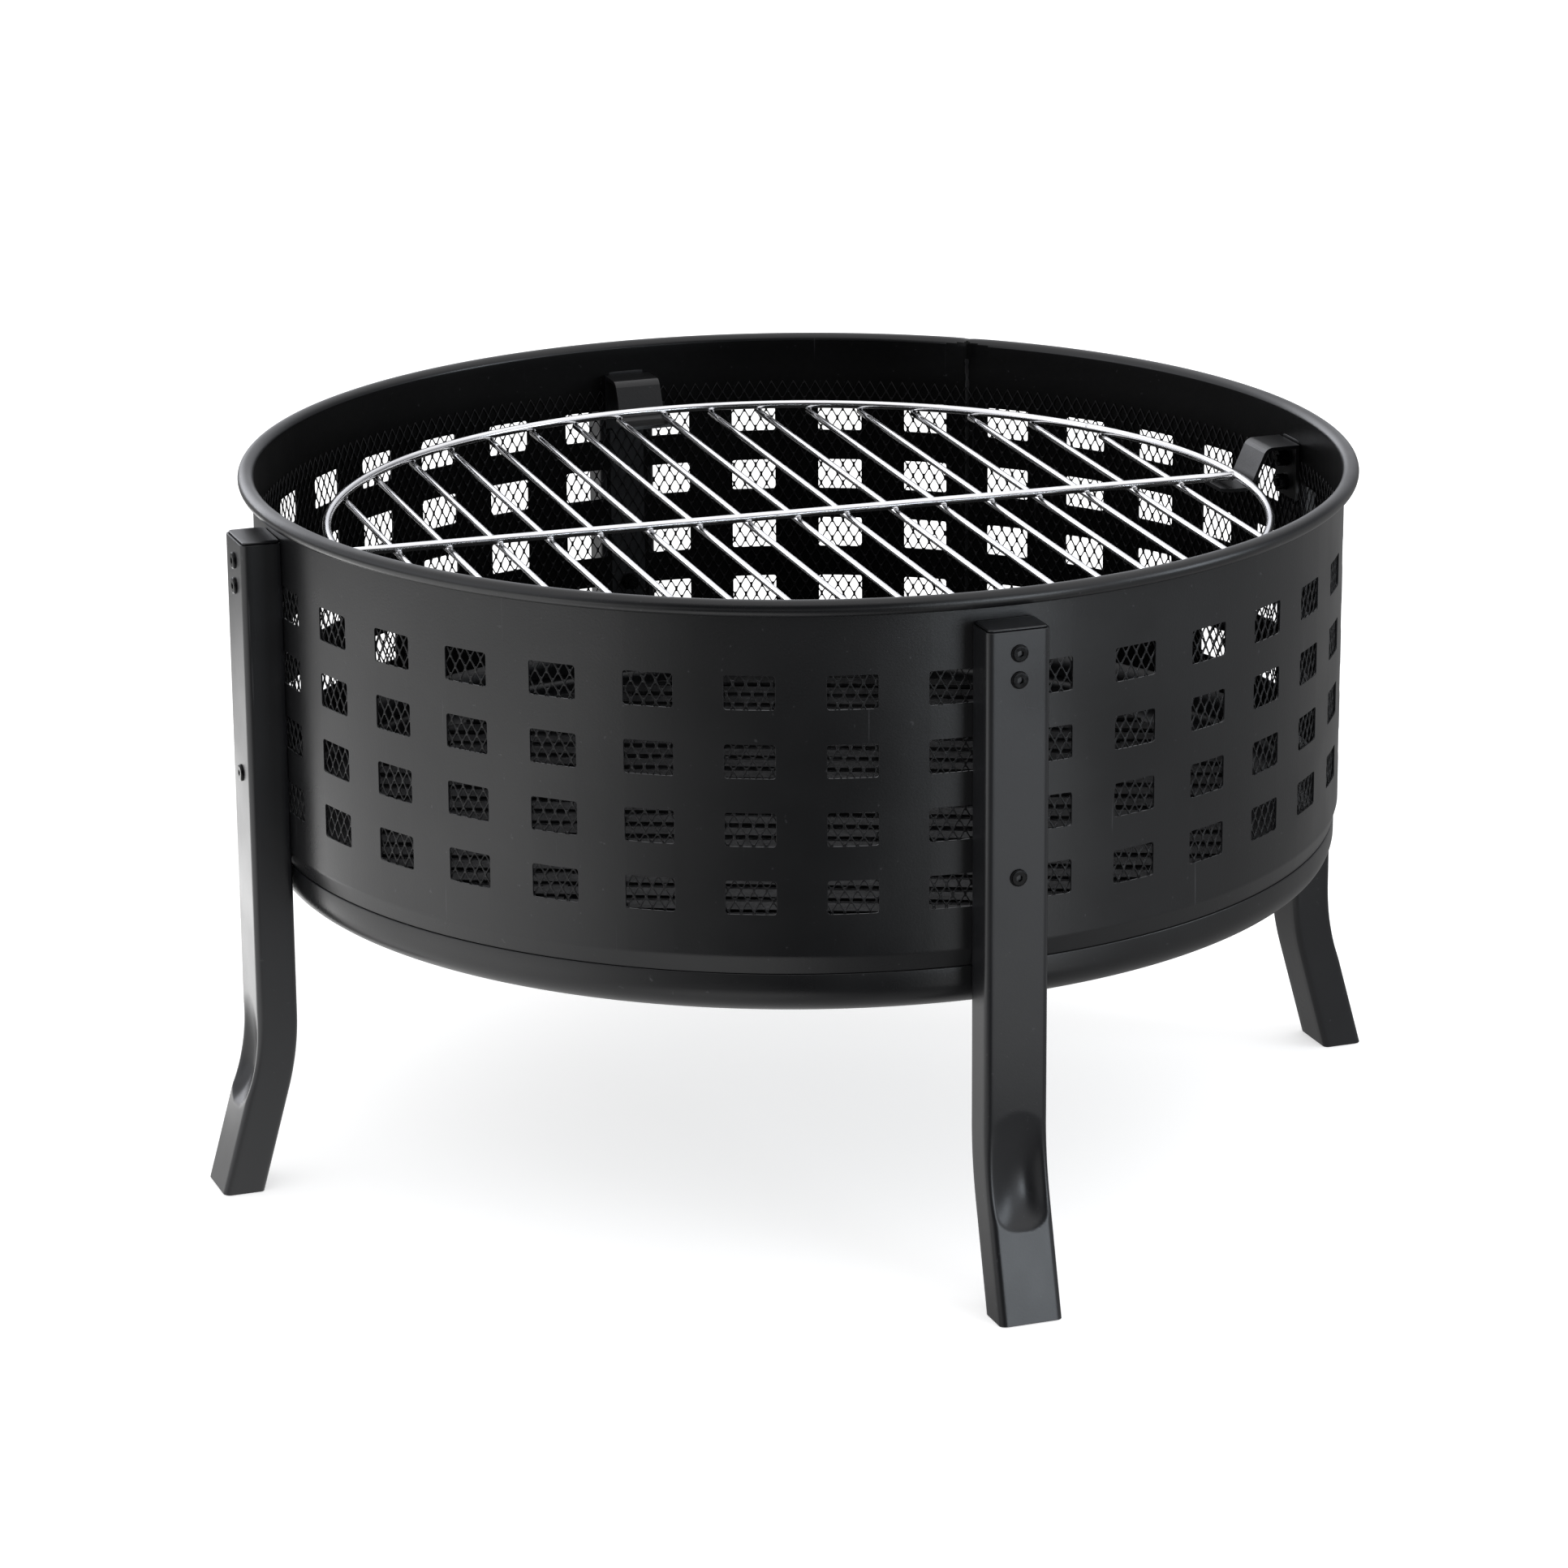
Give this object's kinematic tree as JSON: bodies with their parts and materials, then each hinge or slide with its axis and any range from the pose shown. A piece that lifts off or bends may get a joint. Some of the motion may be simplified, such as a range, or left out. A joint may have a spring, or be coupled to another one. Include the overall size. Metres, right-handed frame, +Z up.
{
  "type": "fire pit with grate",
  "caption": "Round windowed steel drum on four splayed tube legs, with a mesh liner, a lift-out wire cooking grate on strap brackets and a slatted log grate.",
  "frame": {"origin": "on the floor, under the drum's vertical axis", "axes": "+Z up along the drum's axis; the legs stand on the diagonals between +X and +Y, so the four sides are alike"},
  "size_m": [0.7635, 0.7636, 0.476],
  "materials": {
    "drum_paint": "satin black powder coat",
    "leg_paint": "satin blue-black powder coat, smoother than the drum",
    "mesh_steel": "black coated expanded metal",
    "black_oxide": "black oxide",
    "chrome_wire": "bright plated wire",
    "log_steel": "matt dark grey"
  },
  "bodies": {
    "fire_pit": {"drum_shell": "drum_paint", "base_pan": "drum_paint", "mesh_liner": "mesh_steel", "leg_back_right": "leg_paint", "leg_back_left": "leg_paint", "leg_front_left": "leg_paint", "leg_front_right": "leg_paint", "cap_back_right": "leg_paint", "cap_back_left": "leg_paint", "cap_front_left": "leg_paint", "cap_front_right": "leg_paint", "bracket_back_right": "drum_paint", "bracket_back_left": "drum_paint", "bracket_front_left": "drum_paint", "bracket_front_right": "drum_paint", "screws_back_right": "black_oxide", "screws_back_left": "black_oxide", "screws_front_left": "black_oxide", "screws_front_right": "black_oxide", "washers_back_right": "black_oxide", "washers_back_left": "black_oxide", "washers_front_left": "black_oxide", "washers_front_right": "black_oxide", "nuts_back_right": "black_oxide", "nuts_back_left": "black_oxide", "nuts_front_left": "black_oxide", "nuts_front_right": "black_oxide"},
    "cooking_grate": {"grate_ring": "chrome_wire", "grate_bars": "chrome_wire", "grate_cross_bar": "chrome_wire"},
    "log_grate": {"log_hoop": "log_steel", "log_slats": "log_steel", "log_stretchers": "log_steel", "log_feet": "log_steel"}
  },
  "joints": [
    {"name": "cooking_grate_lift", "type": "slide", "parent": "fire_pit", "child": "cooking_grate", "axis": [0, 0, 1], "range_m": [0, 0.12]},
    {"name": "log_grate_lift", "type": "slide", "parent": "fire_pit", "child": "log_grate", "axis": [0, 0, 1], "range_m": [0, 0.18]}
  ]
}
